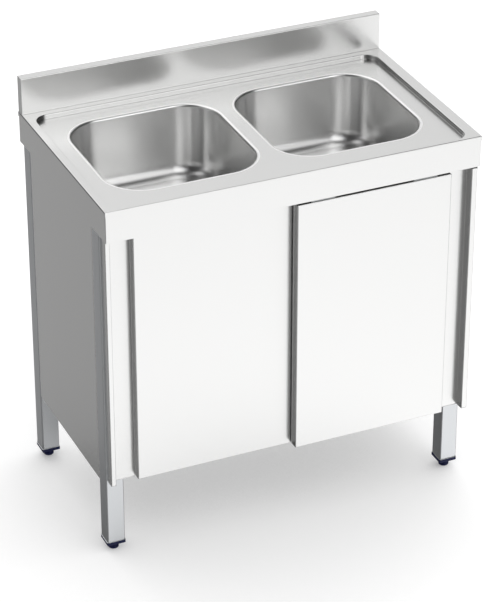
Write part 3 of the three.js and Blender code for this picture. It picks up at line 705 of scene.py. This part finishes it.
# ---------------------------------------------------------------- sliding gear and linings
dress("door_guide_bracket", outer=0.0018)
dress("door_track", outer=0.0010, inner=0.0006, cut=0.0002, steps=3)
for side in ("left", "right"):
    dress(f"{side}_door_liner", outer=0.0016)
    dress(f"{side}_door_board", outer=0.0010, inner=0.0005, cut=0.0005, steps=2)
    dress(f"door_guide_{side}", outer=0.0015, inner=0.0005, cut=0.0005)
    for end in ("a", "b"):
        dress(f"{side}_door_hanger_{end}", outer=0.0012)
        dress(f"{side}_door_roller_{end}", outer=0.0006, inner=0.0003, steps=2, turned=Y_AXIS)
    for end in ("closed", "open"):
        dress(f"{side}_door_stop_{end}", outer=0.0015, inner=0.0005, cut=0.0005)

# The CAD nodes keep their shapes and take the materials of their slots
for name, node in frame["nodes"].items():
    node.data.materials.clear()
    node.data.materials.append(MATERIALS[SLOT_OF[name]])

# ---------------------------------------------------------------- studio
FLOOR_REACH = 40
FLOOR_COLOUR = (0.5, 0.5, 0.5, 1)
# How far round it the floor looks for what shades it, and the lean of the shadow to the left
SHADE_DISTANCE = 0.9
SHADE_LEAN = (0.35, 0.1, 0.93)
# The floor's own light where it is shaded and where it is open
FLOOR_DARK, FLOOR_BRIGHT = 0.19, 0.96
# What metals see through the floor, from the shade where it starts to the shade where it is whole
SEEN_FROM, SEEN_TO, SEEN_LEAST = 0.25, 0.8, 0.1

floor_mesh = bpy.data.meshes.new("floor")
corners = [(x * FLOOR_REACH, y * FLOOR_REACH, 0) for x, y in ((-1, -1), (1, -1), (1, 1), (-1, 1))]
floor_mesh.from_pydata(corners, [], [(0, 1, 2, 3)])
floor = bpy.data.objects.new("floor", floor_mesh)
bpy.context.scene.collection.objects.link(floor)
floor.visible_shadow = False


def build_floor():
    """A white floor with a soft shadow; metals see the studio's lower half through it, shaded alike."""
    material = bpy.data.materials.new("floor")
    material.use_nodes = True
    tree = material.node_tree
    tree.nodes.clear()
    shade = add(tree, "ShaderNodeAmbientOcclusion", samples=8, in_Distance=SHADE_DISTANCE)
    tree.links.new(shade.inputs["Normal"], constant_vector(tree, SHADE_LEAN))
    matt = add(tree, "ShaderNodeBsdfDiffuse", in_Color=FLOOR_COLOUR)
    glow = add(tree, "ShaderNodeEmission")
    level = add(tree, "ShaderNodeMapRange", in_3=FLOOR_DARK, in_4=FLOOR_BRIGHT)
    tree.links.new(level.inputs[0], shade.outputs["AO"])
    tree.links.new(glow.inputs["Strength"], level.outputs[0])
    both = add(tree, "ShaderNodeAddShader")
    tree.links.new(both.inputs[0], matt.outputs[0])
    tree.links.new(both.inputs[1], glow.outputs[0])
    through = add(tree, "ShaderNodeBsdfTransparent")
    seen = add(tree, "ShaderNodeMapRange", in_1=SEEN_FROM, in_2=SEEN_TO, in_3=SEEN_LEAST, in_4=1.0)
    tree.links.new(seen.inputs[0], shade.outputs["AO"])
    tree.links.new(through.inputs["Color"], seen.outputs[0])
    path = add(tree, "ShaderNodeLightPath")
    mix = add(tree, "ShaderNodeMixShader")
    tree.links.new(mix.inputs[0], path.outputs["Is Glossy Ray"])
    tree.links.new(mix.inputs[1], both.outputs[0])
    tree.links.new(mix.inputs[2], through.outputs[0])
    result = add(tree, "ShaderNodeOutputMaterial")
    tree.links.new(result.inputs[0], mix.outputs[0])
    return material


floor_mesh.materials.append(build_floor())

# Studio light: a faint base and soft lights, each with its direction, its radius in degrees and its
# strength in the middle
BASE_LIGHT = 0.015
LIGHTS = [
    ((0.45, -0.5, -0.74), 47, 1.17),
    ((0.15, -0.98, -0.1), 34, 0.32),
    ((0.264, 0.929, -0.259), 50, 0.5),
    ((0.264, -0.929, 0.259), 24, 1.65),
    ((0.5, 0.7, 0.5), 34, 0.7),
    ((0.087, 0.492, 0.866), 30, 1.2),
    ((-0.08, 0.78, 0.62), 24, 0.8),
    ((-0.48, 0.28, 0.83), 22, 1.0),
    ((0.1, -0.6, 0.79), 28, 1.25),
    ((0.0, 0.0, -1.0), 95, 0.22),
    ((-0.9, -0.42, -0.1), 36, 0.5),
    ((-0.95, 0.1, 0.25), 30, 0.38),
]


def build_world():
    """The studio's light as patches of sky; the camera itself sees white."""
    world = bpy.data.worlds.new("studio")
    bpy.context.scene.world = world
    world.use_nodes = True
    tree = world.node_tree
    background = tree.nodes["Background"]
    place = add(tree, "ShaderNodeTexCoord")
    total = add(tree, "ShaderNodeMath", operation="ADD", in_0=BASE_LIGHT, in_1=0.0)
    for direction, radius, strength in LIGHTS:
        dot = add(tree, "ShaderNodeVectorMath", operation="DOT_PRODUCT")
        dot.inputs[1].default_value = Vector(direction).normalized()
        tree.links.new(dot.inputs[0], place.outputs["Generated"])
        patch = add(tree, "ShaderNodeMapRange", interpolation_type="SMOOTHSTEP")
        for i, value in enumerate((math.cos(math.radians(radius)), 1.0, 0.0, strength)):
            patch.inputs[i + 1].default_value = value
        tree.links.new(patch.inputs[0], dot.outputs["Value"])
        more = add(tree, "ShaderNodeMath", operation="ADD")
        tree.links.new(more.inputs[0], total.outputs[0])
        tree.links.new(more.inputs[1], patch.outputs[0])
        total = more
    path = add(tree, "ShaderNodeLightPath")
    seen = add(tree, "ShaderNodeMix", data_type="FLOAT", in_3=1.0)
    tree.links.new(seen.inputs[0], path.outputs["Is Camera Ray"])
    tree.links.new(seen.inputs[2], total.outputs[0])
    tree.links.new(background.inputs["Strength"], seen.outputs[0])
    background.inputs["Color"].default_value = (1, 1, 1, 1)


build_world()

# ---------------------------------------------------------------- camera
CAMERA_PLACE = (-2.09866, -4.72306, 3.38837)
CAMERA_TURNS = (60.1262, -0.0407, -23.9814)

camera_data = bpy.data.cameras.new("camera")
camera_data.lens = 162.4
camera_data.sensor_width = 36
camera_data.clip_end = 200
camera = bpy.data.objects.new("camera", camera_data)
bpy.context.scene.collection.objects.link(camera)
camera.location = CAMERA_PLACE
camera.rotation_euler = Euler([math.radians(a) for a in CAMERA_TURNS])
bpy.context.scene.camera = camera
bpy.context.scene.view_settings.view_transform = "Standard"
